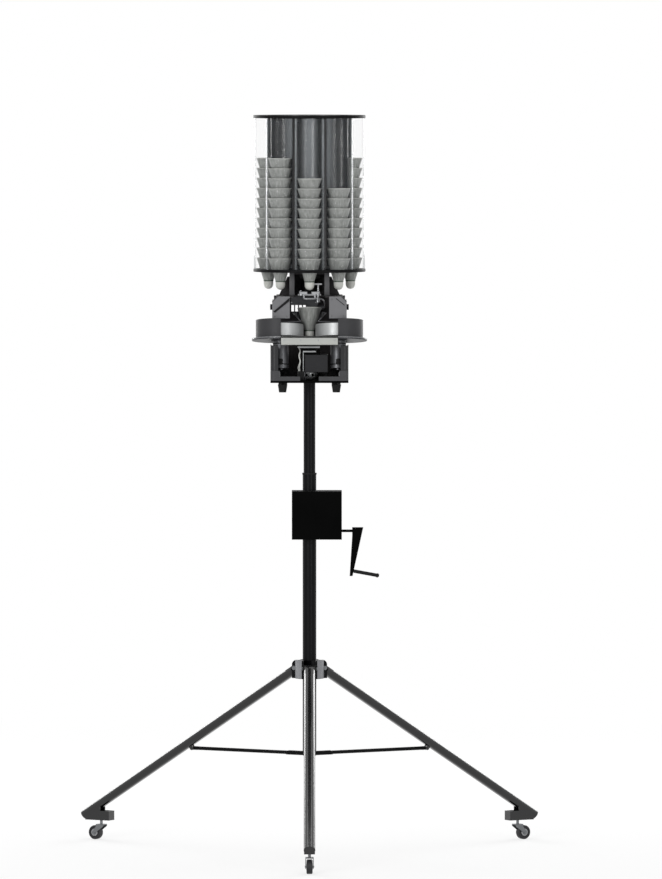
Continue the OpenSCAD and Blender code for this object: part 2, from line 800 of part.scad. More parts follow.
// Tray on the base plate: low walls, round posts at the corners, low front
module base_tray() {
    color("#5d5e60") at_mast() translate([0, 0, base_z + plate_t]) {
        difference() {
            translate([0, (body_rear - body_front) / 2, 0]) linear_extrude(tray_h)
                round_rect(body_w, body_front + body_rear, 12);
            translate([0, (body_rear - body_front) / 2, -1]) linear_extrude(tray_h + 2)
                round_rect(body_w - 2 * tray_t, body_front + body_rear - 2 * tray_t, 9);
            translate([-head_side + 26, -body_front - 1, tray_front_h])
                cube([body_w - 52, tray_t + 2, tray_h]);
            translate([-tray_notch, -body_front - 1, -1]) cube([2 * tray_notch, tray_t + 2, tray_h]);
        }
        for (x = [-1, 1], y = [-body_front + 12, body_rear - 12])
            translate([x * (head_side - 12), y, 0]) cylinder(r = post_r, h = tray_h, $fn = 32);
    }
}

// Side panel: a wall with returns in front and behind, its top sloped back
module side_panel(side) {
    low = base_z + plate_t + tray_h;
    high = base_z + plate_t + body_h;
    color("#39393b") at_mast() intersection() {
        on_side(side) difference() {
            translate([0, (body_rear - body_front) / 2, low]) linear_extrude(high - low)
                round_rect(body_w, body_front + body_rear, 14);
            translate([0, (body_rear - body_front) / 2, low - 1]) linear_extrude(high - low + 2)
                round_rect(body_w - 2 * panel_t, body_front + body_rear - 2 * panel_t, 12);
            translate([-body_w, -body_front - 1, low - 1])
                cube([body_w + head_side - panel_return, body_front + body_rear + 2, high]);
        }
        rotate([90, 0, 90]) linear_extrude(2 * body_w, center = true) polygon([
            [-body_front - 1, low - 1], [body_rear + 1, low - 1],
            [body_rear + 1, high - panel_step - 8],
            [-frame_y, high - panel_step], [-tube_pitch_r, high], [-body_front - 1, high]]);
    }
}
module on_side(side) {
    if (side > 0) children();
    else mirror([1, 0, 0]) children();
}
module left_side_panel() { side_panel(-1); }
module right_side_panel() { side_panel(1); }

// Bulkhead that carries the deck, with four vent slots
module rear_panel() {
    low = base_z + plate_t;
    color("#2b2b2d") at_mast() difference() {
        union() {
            translate([-frame_half, frame_y, low])
                cube([2 * frame_half, frame_t, deck_z - low]);
            translate([-frame_wide, frame_y, cheek_low])
                cube([2 * frame_wide, frame_t, deck_z - cheek_low]);
        }
        for (k = [0:slot_n - 1]) translate([vent_x + k * vent_pitch, 0, vent_z])
            cube([vent_w, 2 * frame_y + 20, vent_h]);
    }
}

// Rubber feet with their studs through the base plate
module rubber_feet() {
    color("#121213") at_mast() for (p = foot_places()) translate([p[0], p[1], 0]) {
        translate([0, 0, base_z - foot_neck - foot_h])
            cylinder(r1 = foot_low_r, r2 = foot_top_r, h = foot_h, $fn = 48);
        translate([0, 0, base_z - foot_neck - 1]) cylinder(d = 6, h = foot_neck + plate_t + 3, $fn = 32);
        translate([0, 0, base_z + plate_t]) cylinder(r = 5, h = 4, $fn = 6);
    }
}

// Sealed control box carried above the tray floor by its side plate and a rear post
control_w = 64;
control_d = 74;
control_h = 49;
control_x = -13;
control_lift = 23;
control_plate = 3;
control_post = 8;
module control_box() {
    color("#545456") at_mast() translate([control_x, -body_front + 26, base_z + plate_t]) {
        translate([0, 0, control_lift]) cube([control_w, control_d, control_h]);
        cube([control_plate, control_d, control_lift + control_h + 5]);
        translate([control_w - control_post, control_d - control_post, 0])
            cube([control_post, control_post, control_lift + 1]);
    }
}

// Mains inlet with its switch, on the rear of the tray
module power_inlet() {
    color("#101012") at_mast() translate([-60, body_rear, base_z + plate_t + 4]) {
        difference() {
            translate([-24, 0, 0]) cube([48, 4, 22]);
            translate([-20, 1.5, 4]) cube([20, 4, 14]);
        }
        translate([4, 3, 5]) cube([14, 4, 12]);
    }
}

// Plug-in lead of the motors: a bent bar of wire with its connector
module motor_wiring() {
    color("#d9dad6") at_mast() {
        translate([-34, -body_front + 20, base_z + plate_t]) cube([20, 22, 26]);
        for (s = [0:2]) translate([-29 + (s % 2) * 2, -body_front + 30, base_z + plate_t + 24 + s * 18])
            cylinder(r = 2.5, h = 20, $fn = 24);
    }
}

// Cheek: front plate with a cut corner, side wall and tilt bolt hole
module cheek(side) {
    high = deck_z + deck_t;
    color("#727376") at_mast() on_side(side) difference() {
        union() {
            translate([0, -cheek_front + cheek_t / 2, 0]) upright(cheek_t) polygon([
                [cheek_in, cheek_low], [cheek_half, cheek_low],
                [cheek_half, high - cheek_chamfer], [cheek_half - cheek_chamfer, high],
                [cheek_in, high]]);
            translate([cheek_half - cheek_t, -cheek_front, cheek_low])
                cube([cheek_t, cheek_front + frame_y, high - cheek_chamfer - cheek_low]);
        }
        translate([0, throw_y, tilt_z]) along(cheek_half - 10, tilt_bolt_d / 2, 20);
    }
}
module left_cheek() { cheek(-1); }
module right_cheek() { cheek(1); }

// Two bolts that the throwing unit tilts on
module tilt_bolts() {
    color("#1d1d1f") at_mast() for (s = [-1, 1]) on_side(s)
        translate([0, throw_y, tilt_z]) {
            along(ear_x - 2, tilt_bolt_d / 2, cheek_half - ear_x + 4);
            along(cheek_half, 8, 6);
        }
}

// Deck and tower: side walls, gussets and the cap that carries the hopper
module feed_tower() {
    rear = frame_y + frame_t;
    color("#3f4042") at_mast() {
        difference() {
            translate([-frame_wide, -cheek_front + cheek_t, deck_z])
                cube([2 * frame_wide, cheek_front - cheek_t + rear, deck_t]);
            translate([-drop_half, -cheek_front, deck_z - 1])
                cube([2 * drop_half, cheek_front - drop_rear, deck_t + 2]);
            for (s = [-1, 1]) translate([s * frame_wide, 0, deck_z + deck_t / 2])
                rotate([0, s * 45, 0]) cube([2 * deck_cut, 2 * body_w, 4 * cheek_chamfer], center = true);
        }
        for (s = [-1, 1]) {
            translate([s * (tower_half - tower_t / 2), (rear - tower_front) / 2, (deck_z + tower_top) / 2])
                cube([tower_t, rear + tower_front, tower_top - deck_z], center = true);
            on_side(s) translate([0, -20, 0]) upright(tower_t) polygon([
                [tower_half - 1, deck_z + 1], [frame_wide - 14, deck_z + 1],
                [tower_half + 6, tower_top - 12], [tower_half - 1, tower_top - 12]]);
        }
        difference() {
            translate([-tower_half, -tower_front, tower_top - tower_cap])
                cube([2 * tower_half, tower_front + rear, tower_cap]);
            translate([0, 0, tower_top - 10])
                cylinder(r = hopper_shaft_d / 2 + fit, h = 20, $fn = 48);
        }
        translate([-tower_half, rear - tower_t, deck_z])
            cube([2 * tower_half, tower_t, tower_top - deck_z]);
    }
}

// Geared motor that indexes the hopper, hung under the tower cap
module hopper_motor() {
    low = tower_top - tower_cap - 46;
    color("#1f1f21") at_mast() difference() {
        union() {
            translate([0, 0, low]) cylinder(r = 24, h = 46, $fn = 64);
            translate([-28, -24, low + 34]) cube([56, 48, 12]);
        }
        translate([0, 0, low + 20]) cylinder(r = hopper_shaft_d / 2 + fit, h = 40, $fn = 48);
    }
}

// Round actuator of the claws, hung from the deck by a bent plate
module feed_motor() {
    plate_w = 76;
    color("#85878a") at_mast() translate([0, feed_y, 0]) {
        translate([feed_left, 0, feed_z]) along(0, feed_r, feed_len);
        translate([feed_left, -feed_r, feed_z]) cube([feed_len * 0.6, feed_r, deck_z - feed_z]);
        translate([feed_right - plate_w, -feed_r - 2, feed_z + feed_r])
            cube([plate_w, 3, deck_z - feed_z - feed_r]);
    }
}

// Bracket that carries the claw pins: the right one is long, with a bar across its top
module claw_bracket() {
    base_t = 4;
    low = deck_z + deck_t;
    color("#a9abac") at_mast() {
        for (s = [-1, 1]) translate([s * claw_pin_x, claw_pin_y, low]) {
            cylinder(d = claw_pin_d, h = claw_z + claw_h + 2 - low, $fn = 32);
            cylinder(r = claw_boss_r, h = claw_z - 0.3 - low, $fn = 32);
            translate([-claw_boss_r, 0, 0]) cube([2 * claw_boss_r, 10, base_t]);
        }
        translate([claw_pin_x, claw_pin_y, spindle_low])
            cylinder(d = claw_pin_d, h = spindle_top - spindle_low, $fn = 32);
        translate([claw_pin_x - spindle_bar / 2, claw_pin_y - 3, spindle_top - 4])
            cube([spindle_bar, 6, 4]);
        translate([-claw_pin_x - 8, -drop_rear + 1, low]) cube([2 * claw_pin_x + 16, 24, base_t]);
    }
}

// Claw finger under the hopper: an eye on its pin, an arm, a jaw and a hooked tip
module claw(side) {
    in = cork_d / 2 + claw_gap;
    front = tube_pitch_r + in;
    arm_out = claw_pin_x + claw_t / 2;
    color("#c3c4c2") at_mast() on_side(side) translate([0, 0, claw_z]) difference() {
        union() {
            translate([claw_pin_x, claw_pin_y, 0]) cylinder(r = claw_eye_r, h = claw_h, $fn = 48);
            translate([arm_out - claw_t, -front - claw_t, 0])
                cube([claw_t, front + claw_t + claw_pin_y, claw_h]);
            translate([in, -front - 1, 0]) cube([arm_out - in, front + 1 - tube_pitch_r + claw_jaw, claw_h]);
            translate([in - claw_hook, -front - claw_t, 0]) cube([arm_out - in + claw_hook, claw_t, claw_h]);
        }
        translate([claw_pin_x, claw_pin_y, -1])
            cylinder(r = claw_pin_d / 2 + fit, h = claw_h + 2, $fn = 48);
    }
}
module claw_left() { claw(-1); }
module claw_right() { claw(1); }

// The throwing unit's own frame: level, about the tilt axis
module throw_frame() {
    at_mast() translate([0, throw_y, tilt_z]) rotate([-tilt_rest, 0, 0]) children();
}

// Guide over the nip: a cone round the waiting shuttle, open to the front
module funnel() {
    low = throw_deck_z + throw_deck_t;
    color("#828386") throw_frame() translate([0, loaded_y, 0]) difference() {
        rotate_extrude($fn = 96) polygon([
            [deck_hole_r, low], [deck_hole_r + funnel_t, low], [deck_hole_r + funnel_t, low + 3],
            [funnel_top_r + funnel_t, funnel_top], [funnel_top_r, funnel_top], [deck_hole_r, low + 4]]);
        translate([-funnel_open, -2 * funnel_top_r, low - 1])
            cube([2 * funnel_open, 2 * funnel_top_r, funnel_top - low + 2]);
    }
}

// The shuttle that waits on the flange for its throw
module loaded_shuttle() {
    color("#d4d5d2") throw_frame() translate([0, loaded_y, flange_top + 0.1]) shuttle();
}

// Flange, riser and deck in one folded frame, with the ears for the tilt bolts
module throw_base() {
    color("#a7a9ab") throw_frame() {
        difference() {
            translate([0, 0, flange_top - flange_t]) linear_extrude(flange_t) {
                square([2 * wheel_x, 2 * flange_r], center = true);
                for (s = [-1, 1]) translate([s * wheel_x, 0]) circle(r = flange_r, $fn = 96);
            }
            for (s = [-1, 1]) translate([s * wheel_x, 0, flange_top - flange_t - 1])
                cylinder(r = motor_shaft_d / 2 + 1, h = flange_t + 2, $fn = 48);
        }
        translate([-riser_half, riser_y, flange_top - 1])
            cube([2 * riser_half, 3, throw_deck_z + throw_deck_t - flange_top + 1]);
        difference() {
            union() {
                translate([-riser_half, -30, throw_deck_z])
                    cube([2 * riser_half, riser_y + 30, throw_deck_t]);
                translate([-ear_x - ear_t, -30, throw_deck_z])
                    cube([2 * (ear_x + ear_t), ear_strip, throw_deck_t]);
            }
            translate([0, loaded_y, throw_deck_z - 1])
                cylinder(r = deck_hole_r, h = throw_deck_t + 2, $fn = 64);
            translate([-deck_hole_r, -riser_y, throw_deck_z - 1])
                cube([2 * deck_hole_r, riser_y + loaded_y, throw_deck_t + 2]);
        }
        for (s = [-1, 1]) on_side(s) translate([ear_x, 0, 0]) difference() {
            union() {
                along(0, ear_half, ear_t);
                translate([0, -ear_half, throw_deck_z + 1]) cube([ear_t, 2 * ear_half, -throw_deck_z - 1]);
            }
            along(-1, tilt_bolt_d / 2 + fit, ear_t + 2);
        }
    }
}

// Pale lip hung on the flange's front edge
module front_lip() {
    color("#b9bbb7") throw_frame() {
        translate([-lip_half, -flange_r - lip_t, lip_top - lip_h]) cube([2 * lip_half, lip_t, lip_h + 7]);
        translate([-lip_half, -flange_r - lip_t, lip_top - lip_h]) cube([2 * lip_half, 12, 2]);
    }
}

// Guards round the outer halves of the wheels
module wheel_guards() {
    color("#4a4a4c") throw_frame() for (s = [-1, 1]) on_side(s) translate([wheel_x, 0, flange_top])
        intersection() {
            difference() {
                cylinder(r = guard_out, h = guard_h, $fn = 96);
                translate([0, 0, -1]) cylinder(r = guard_in, h = guard_h + 2, $fn = 96);
            }
            translate([0, -guard_out - 1, -1]) cube([guard_out + 2, 2 * guard_out + 2, guard_h + 2]);
        }
}

// Two motors hung under the flange, their shafts through it
module throw_motors() {
    color("#77787a") throw_frame() for (s = [-1, 1]) translate([s * wheel_x, 0, 0]) {
        translate([0, 0, flange_top - flange_t - motor_len]) cylinder(r = motor_r, h = motor_len, $fn = 64);
        translate([0, 0, flange_top - flange_t - motor_len - 4]) cylinder(r = 7, h = 5, $fn = 32);
    }
}

// Throwing wheel on its motor shaft: rim, web and hub
module throw_wheel(side) {
    rim = 9;
    h = throw_h;
    color("#c2c4c3") throw_frame() translate([side * wheel_x, 0, wheel_low]) {
        rotate_extrude($fn = 96) polygon([
            [0, 0], [14, 0], [14, h / 2 - 3], [wheel_r - rim, h / 2 - 3], [wheel_r - rim, 0],
            [wheel_r - 1, 0], [wheel_r, 1], [wheel_r, h - 1], [wheel_r - 1, h], [wheel_r - rim, h],
            [wheel_r - rim, h / 2 + 3], [14, h / 2 + 3], [14, h], [0, h]]);
        translate([0, 0, -9.7]) cylinder(d = motor_shaft_d, h = 10, $fn = 48);
    }
}
module throw_wheel_left() { throw_wheel(-1); }
module throw_wheel_right() { throw_wheel(1); }

// Bottom disc with the drop holes and the drive shaft
module hopper_base_disc() {
    color("#0d0d0e") at_mast() {
        difference() {
            translate([0, 0, hopper_z]) cylinder(r = hopper_r, h = disc_t, $fn = 128);
            for_tubes() translate([0, 0, hopper_z - 1]) cylinder(r = hole_r, h = disc_t + 2, $fn = 64);
        }
        translate([0, 0, hopper_z - shaft_drop])
            cylinder(d = hopper_shaft_d, h = shaft_drop + disc_t / 2, $fn = 48);
    }
}
module for_tubes() {
    for (k = [0:7]) rotate([0, 0, -90 + 45 * k]) translate([tube_pitch_r, 0, 0]) children();
}

// Top disc, open over each tube
module hopper_top_disc() {
    color("#0d0d0e") at_mast() difference() {
        translate([0, 0, hopper_top]) cylinder(r = hopper_r, h = disc_t, $fn = 128);
        for_tubes() translate([0, 0, hopper_top - 1]) cylinder(r = tube_ir, h = disc_t + 2, $fn = 64);
    }
}

// Smoked core whose ribs reach out between the tubes
module hopper_core() {
    color("#34383c") at_mast() translate([0, 0, tubes_z]) linear_extrude(tube_len) difference() {
        core_outline(core_r, tube_or + core_gap);
        core_outline(core_r - core_wall, tube_or + core_gap + core_wall);
    }
}
module core_outline(r, scallop_r) {
    difference() {
        circle(r = r, $fn = 128);
        for (k = [0:7]) rotate(-90 + 45 * k) translate([tube_pitch_r, 0])
            circle(r = scallop_r, $fn = 64);
    }
}

// Eight clear tubes
module hopper_tubes() {
    color("#dfe6e8", 0.35) at_mast() for_tubes() translate([0, 0, tubes_z]) difference() {
        cylinder(r = tube_or, h = tube_len, $fn = 64);
        translate([0, 0, -1]) cylinder(r = tube_ir, h = tube_len + 2, $fn = 64);
    }
}

// Shuttle: domed cork and a thin flared skirt, cork down
module shuttle() {
    r = cork_d / 2;
    union() {
        intersection() {
            translate([0, 0, r]) sphere(r = r, $fn = 64);
            cylinder(r = r + 1, h = r, $fn = 32);
        }
        translate([0, 0, r]) cylinder(r = r, h = cork_h - r, $fn = 64);
        rotate_extrude($fn = 64) polygon([
            [r - skirt_t, skirt_low], [r, skirt_low], [skirt_d / 2, shuttle_len],
            [skirt_d / 2 - skirt_t, shuttle_len]]);
    }
}

// A stack of shuttles hangs in each tube, its lowest one through the disc
module shuttle_stacks() {
    color("#d4d5d2") at_mast() for (k = [0:7]) stacked(k, [0:STACK[k] - 2]);
}
module stacked(k, steps) {
    for (i = steps) rotate([0, 0, -90 + 45 * k])
        translate([tube_pitch_r, 0, shuttle_z + i * stack_pitch]) shuttle();
}

// The uppermost shuttle of each stack, whose skirt stands open
module top_shuttles() {
    color("#d4d5d2") at_mast() for (k = [0:7]) stacked(k, [STACK[k] - 1]);
}

mast_outer();
mast_top_bush();
leg_hub();
leg_pivot_bolts();
leg_front();
leg_right();
leg_left();
brace_front();
brace_right();
brace_left();
spreader();
caster_fork_front();
caster_fork_right();
caster_fork_left();
caster_wheel_front();
caster_wheel_right();
caster_wheel_left();
winch_housing();
winch_cover();
winch_bushes();
rack_pinion();
crank_shaft();
crank_arm();
crank_grip();
mast_inner();
mast_rack();
mast_glide_bush();
head_socket();
base_plate();
base_tray();
left_side_panel();
right_side_panel();
rear_panel();
rubber_feet();
control_box();
power_inlet();
motor_wiring();
left_cheek();
right_cheek();
tilt_bolts();
feed_tower();
hopper_motor();
feed_motor();
claw_left();
claw_right();
claw_bracket();
funnel();
throw_base();
front_lip();
wheel_guards();
throw_motors();
loaded_shuttle();
throw_wheel_left();
throw_wheel_right();
hopper_base_disc();
hopper_top_disc();
hopper_core();
hopper_tubes();
shuttle_stacks();
top_shuttles();
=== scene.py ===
import math
import bmesh
import bpy
from mathutils import Matrix, Vector


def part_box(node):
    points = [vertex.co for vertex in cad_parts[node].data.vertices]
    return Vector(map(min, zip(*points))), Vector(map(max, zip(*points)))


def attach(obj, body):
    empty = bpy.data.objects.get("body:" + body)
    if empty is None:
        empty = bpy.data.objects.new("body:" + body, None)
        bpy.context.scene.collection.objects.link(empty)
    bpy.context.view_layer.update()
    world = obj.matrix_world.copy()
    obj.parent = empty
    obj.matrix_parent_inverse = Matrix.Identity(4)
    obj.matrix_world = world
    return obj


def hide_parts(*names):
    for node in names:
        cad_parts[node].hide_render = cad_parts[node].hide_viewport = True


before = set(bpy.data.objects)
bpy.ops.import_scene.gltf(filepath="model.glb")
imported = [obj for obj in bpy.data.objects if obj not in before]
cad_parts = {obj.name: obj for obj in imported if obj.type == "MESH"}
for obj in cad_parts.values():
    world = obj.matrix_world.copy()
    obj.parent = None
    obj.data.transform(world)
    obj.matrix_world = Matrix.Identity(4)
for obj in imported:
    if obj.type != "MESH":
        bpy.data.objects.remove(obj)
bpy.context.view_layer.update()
scene = bpy.context.scene

# Pieces are drawn in millimetres round the mast axis, with the front toward -Y
MM = 0.001
mast_low, mast_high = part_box("mast_outer")
MAST_Y = (mast_low.y + mast_high.y) / 2
ROW = Matrix.Translation((0, MAST_Y, 0)) @ Matrix.Scale(MM, 4)

# Sizes that repeat the CAD source, in millimetres and degrees
TUBE_PITCH_R = 115
HOPPER_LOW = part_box("hopper_tubes")[0].z / MM
STACK = [9, 8, 11, 11, 10, 11, 11, 11]
STACK_PITCH = 28
SHUTTLE_HANG = 57
SHUTTLE_LEN = 88
CORK_R = 13.5
SKIRT_R = 34
SKIRT_LOW = 24
TILT_Z = 1535
TILT_REST = -7
LOADED_Y = 21
FLANGE_TOP = -89
FLANGE_T = 6
WHEEL_X = 80
WHEEL_LOW = FLANGE_TOP + 4
WHEEL_H = 36
MOTOR_LEN = 78
BASE_TOP = 1331
BODY_FRONT = -186
BODY_REAR = 45
CHEEK_FRONT = -173
DECK_TOP = 1566
LEG_AZIMUTHS = {"front": -90, "right": 30, "left": 150}
CASTER_REACH = 704.4
CASTER_R = 20
CASTER_W = 17
SIDES = (-1, 1)


def move(x, y, z):
    return Matrix.Translation((x, y, z))


def turn(axis, degrees):
    return Matrix.Rotation(math.radians(degrees), 4, axis)


# The throwing unit's own frame, with its origin on the tilt axis
THROW = move(0, -TUBE_PITCH_R, TILT_Z) @ turn("X", TILT_REST)


# Colours and finishes
def colour(text):
    """A hex colour as linear RGBA."""
    parts = [int(text[i:i + 2], 16) / 255 for i in (1, 3, 5)]
    return [c / 12.92 if c <= 0.04045 else ((c + 0.055) / 1.055) ** 2.4 for c in parts] + [1]


def new_finish(name):
    material = bpy.data.materials.new(name)
    material.use_nodes = True
    tree = material.node_tree
    return material, tree, tree.nodes["Principled BSDF"]


def object_place(tree):
    return tree.nodes.new("ShaderNodeTexCoord").outputs["Object"]


def noise(tree, scale, detail=3.0, stretch=(1, 1, 1)):
    """Noise in object space, scale in features per metre."""
    mapping = tree.nodes.new("ShaderNodeMapping")
    mapping.inputs["Scale"].default_value = stretch
    texture = tree.nodes.new("ShaderNodeTexNoise")
    texture.inputs["Scale"].default_value = scale
    texture.inputs["Detail"].default_value = detail
    tree.links.new(object_place(tree), mapping.inputs["Vector"])
    tree.links.new(mapping.outputs["Vector"], texture.inputs["Vector"])
    return texture.outputs["Fac"]


def map_range(tree, value, source, target, curve="LINEAR"):
    """Maps a value from the source range onto the target range."""
    node = tree.nodes.new("ShaderNodeMapRange")
    node.interpolation_type = curve
    ends = zip(("From Min", "From Max", "To Min", "To Max"), (*source, *target))
    for socket, number in ends:
        node.inputs[socket].default_value = number
    tree.links.new(value, node.inputs["Value"])
    return node.outputs["Result"]


def math_node(tree, operation, *values):
    """A math node on numbers or outputs of other nodes."""
    node = tree.nodes.new("ShaderNodeMath")
    node.operation = operation
    for socket, value in zip(node.inputs, values):
        if isinstance(value, (int, float)):
            socket.default_value = value
        else:
            tree.links.new(value, socket)
    return node.outputs["Value"]


def mix_colours(tree, share, first, second):
    mix = tree.nodes.new("ShaderNodeMix")
    mix.data_type = "RGBA"
    mix.inputs["A"].default_value = first
    mix.inputs["B"].default_value = second
    tree.links.new(share, mix.inputs["Factor"])
    return mix.outputs["Result"]


NOISE_BAND = (0.3, 0.7)    # where nearly all values of a noise lie
BLOTCH = 14                # patches of colour per metre
ROUGH_DRIFT = 0.15
GRAIN_DEPTH = 0.15         # millimetres
COAT_ROUGH = 0.08
ACRYLIC_IOR = 1.49


def spread(tree, value, low, high):
    """Maps a noise value onto low to high."""
    return map_range(tree, value, NOISE_BAND, (low, high))


def tint(tree, value, base, vary):
    """The base colour, darker and lighter by the share vary."""
    darker = [c * (1 - vary) for c in base[:3]] + [1]
    lighter = [min(c * (1 + vary), 1) for c in base[:3]] + [1]
    return mix_colours(tree, spread(tree, value, 0, 1), darker, lighter)


def bump(tree, shader, value, strength, depth_mm):
    node = tree.nodes.new("ShaderNodeBump")
    node.inputs["Strength"].default_value = strength
    node.inputs["Distance"].default_value = depth_mm * MM
    tree.links.new(value, node.inputs["Height"])
    tree.links.new(node.outputs["Normal"], shader.inputs["Normal"])


def finish(name, base, rough, metal=0.0, coat=0.0, vary=0.12, grain=700, strength=0.15,
           stretch=(1, 1, 1), gloss=0.5):
    """Painted, moulded or machined surface: soft colour drift, uneven gloss and fine grain."""
    material, tree, shader = new_finish(name)
    drift = tint(tree, noise(tree, BLOTCH), colour(base), vary)
    fine = noise(tree, grain, 2.0, stretch)
    uneven = spread(tree, fine, rough * (1 - ROUGH_DRIFT), min(rough * (1 + ROUGH_DRIFT), 1))
    tree.links.new(drift, shader.inputs["Base Color"])
    tree.links.new(uneven, shader.inputs["Roughness"])
    bump(tree, shader, fine, strength, GRAIN_DEPTH)
    shader.inputs["Metallic"].default_value = metal
    shader.inputs["Coat Weight"].default_value = coat
    shader.inputs["Coat Roughness"].default_value = COAT_ROUGH
    shader.inputs["Specular IOR Level"].default_value = gloss
    return material


def clear_finish(name, base, face_alpha, edge_alpha, rough):
    """Clear sheet: nearly unseen face on, denser toward its edges."""
    material, tree, shader = new_finish(name)
    weight = tree.nodes.new("ShaderNodeLayerWeight")
    weight.inputs["Blend"].default_value = 0.35
    alpha = map_range(tree, weight.outputs["Facing"], (0.25, 1), (face_alpha, edge_alpha),
                      "SMOOTHERSTEP")
    tree.links.new(alpha, shader.inputs["Alpha"])
    streak = noise(tree, 30, 2.0, (1, 1, 0.05))
    tree.links.new(tint(tree, streak, colour(base), 0.06), shader.inputs["Base Color"])
    shader.inputs["Roughness"].default_value = rough
    shader.inputs["IOR"].default_value = ACRYLIC_IOR
    return material


BRUSHED_UP = (1, 1, 0.04)
MAST_BLACK = finish("mast_black", "#08080a", 0.32, vary=0.15, gloss=0.09)
LEG_BLACK = finish("leg_black", "#09090a", 0.2, coat=0.5, vary=0.15, strength=0.06, gloss=0.3)
BOX_BLACK = finish("box_black", "#040404", 0.6, vary=0.2, gloss=0.02)
DISC_BLACK = finish("disc_black", "#060607", 0.5, vary=0.2, gloss=0.08)
# Painted highlight for the curved faces of the black hub
HUB_HIGHLIGHT = finish("hub_gray", "#808184", 0.42, metal=0.3, strength=0.3, grain=450)
CHEEK_GRAY = finish("cheek_gray", "#6c6c6e", 0.55, vary=0.06, strength=0.25, gloss=0.2)
TOWER_GRAY = finish("tower_gray", "#2e2c2d", 0.5, vary=0.12, gloss=0.15)
PANEL_DARK = finish("panel_dark", "#222224", 0.38, vary=0.12, gloss=0.25)
TRAY_GRAY = finish("tray_gray", "#3c3c3e", 0.5, vary=0.1, gloss=0.2)
CONTROL_GRAY = finish("control_gray", "#262628", 0.55, vary=0.1, gloss=0.15)
STEEL = finish("bright_steel", "#9a9b9d", 0.3, metal=0.9, vary=0.08, stretch=BRUSHED_UP)
MOTOR_GRAY = finish("motor_gray", "#4c4d50", 0.36, metal=0.5, vary=0.08)
FLANGE = finish("flange_metal", "#38393b", 0.42, metal=0.2, vary=0.1, stretch=(0.05, 1, 1),
                gloss=0.3)
FLANGE_EDGE = finish("flange_edge", "#4d4d4f", 0.5)
BRACKET_GRAY = finish("bracket_gray", "#8c8e8f", 0.4, metal=0.3)
# Painted highlight for the tray's corner blocks
CORNER_HIGHLIGHT = finish("corner_highlight_gray", "#8b8c8d", 0.4)
CLAMP_GRAY = finish("clamp_gray", "#9a9c9d", 0.35, metal=0.5)
LIP_PALE = finish("lip_pale", "#a4a6a2", 0.5, vary=0.04, strength=0.1, gloss=0.2)
SILVER = finish("wheel_silver", "#a3a5a5", 0.4, metal=0.4, vary=0.05, stretch=(1, 1, 0.03))
GUARD_DARK = finish("guard_dark", "#343436", 0.5, vary=0.1, gloss=0.2)
NYLON = finish("nylon_white", "#d8d8d4", 0.5, vary=0.04)
BRONZE = finish("bronze", "#a98a4c", 0.4, metal=0.9, vary=0.1)
PLASTIC = finish("black_plastic", "#0d0d0e", 0.5, vary=0.15, strength=0.3, gloss=0.15)
RUBBER = finish("rubber_black", "#151515", 0.75, vary=0.15, strength=0.5, grain=500, gloss=0.15)
TYRE = finish("caster_tyre", "#29292b", 0.5, vary=0.12, gloss=0.25)
CASTER_HUB = finish("caster_hub", "#8c8d8f", 0.4, metal=0.4, vary=0.08)
FORK = finish("fork_steel", "#6d6f71", 0.33, metal=0.8, vary=0.1)
FUNNEL_GRAY = finish("funnel_gray", "#7a7b7e", 0.45, metal=0.15, vary=0.06, gloss=0.3)
CORK = finish("cork_pale", "#bcbdb8", 0.6, vary=0.06, grain=900, strength=0.4)
BAND = finish("cork_band", "#3e4a40", 0.5, vary=0.12)
WIRE = finish("wire_pale", "#c8c9c5", 0.5, vary=0.04)
CLEAR = clear_finish("clear_tube", "#b9bec1", 0.02, 0.75, 0.05)


def smoke_finish():
    """Smoked sheet with a painted highlight along the middle of each of its hollows for the tubes
    and painted shade between them.
    """
    material, tree, shader = new_finish("smoke_core")
    split = tree.nodes.new("ShaderNodeSeparateXYZ")
    tree.links.new(object_place(tree), split.inputs["Vector"])
    back = math_node(tree, "SUBTRACT", split.outputs["Y"], MAST_Y)
    angle = math_node(tree, "ARCTAN2", split.outputs["X"], back)
    # Painted highlight in line with each tube, painted shade between the hollows
    highlight_wave = math_node(tree, "COSINE", math_node(tree, "MULTIPLY", angle, len(STACK)))
    light = math_node(tree, "ADD", math_node(tree, "MULTIPLY", highlight_wave, 0.2), 0.45)
    painted_highlight_bands = mix_colours(tree, spread(tree, light, 0, 1), colour("#0b0c0e"), colour("#777b7e"))
    tree.links.new(painted_highlight_bands, shader.inputs["Base Color"])
    shader.inputs["Roughness"].default_value = 0.24
    shader.inputs["Specular IOR Level"].default_value = 0.3
    return material


SMOKE = smoke_finish()


def skirt_finish():
    """Translucent nylon with fine ribs running up the skirt."""
    material, tree, shader = new_finish("skirt_nylon")
    fine = noise(tree, 260, 2.0, (1, 1, 0.12))
    tree.links.new(tint(tree, fine, colour("#868885"), 0.25), shader.inputs["Base Color"])
    bump(tree, shader, fine, 0.5, 0.2)
    shader.inputs["Roughness"].default_value = 0.45
    shader.inputs["Alpha"].default_value = 0.94
    return material


SKIRT = skirt_finish()


# Shapes, each added to a bmesh in millimetres
def loft(bm, rings, joined=False, index=0):
    """Skins rings of points. Open ends are capped, joined ends meet."""
    rows = [[bm.verts.new(p) for p in ring] for ring in rings]
    pairs = list(zip(rows, rows[1:]))
    if joined:
        pairs.append((rows[-1], rows[0]))
    faces = []
    for low, high in pairs:
        for i in range(len(low)):
            j = (i + 1) % len(low)
            faces.append(bm.faces.new((low[i], low[j], high[j], high[i])))
    if not joined:
        faces += [bm.faces.new(rows[0][::-1]), bm.faces.new(rows[-1])]
    for face in faces:
        face.material_index = index


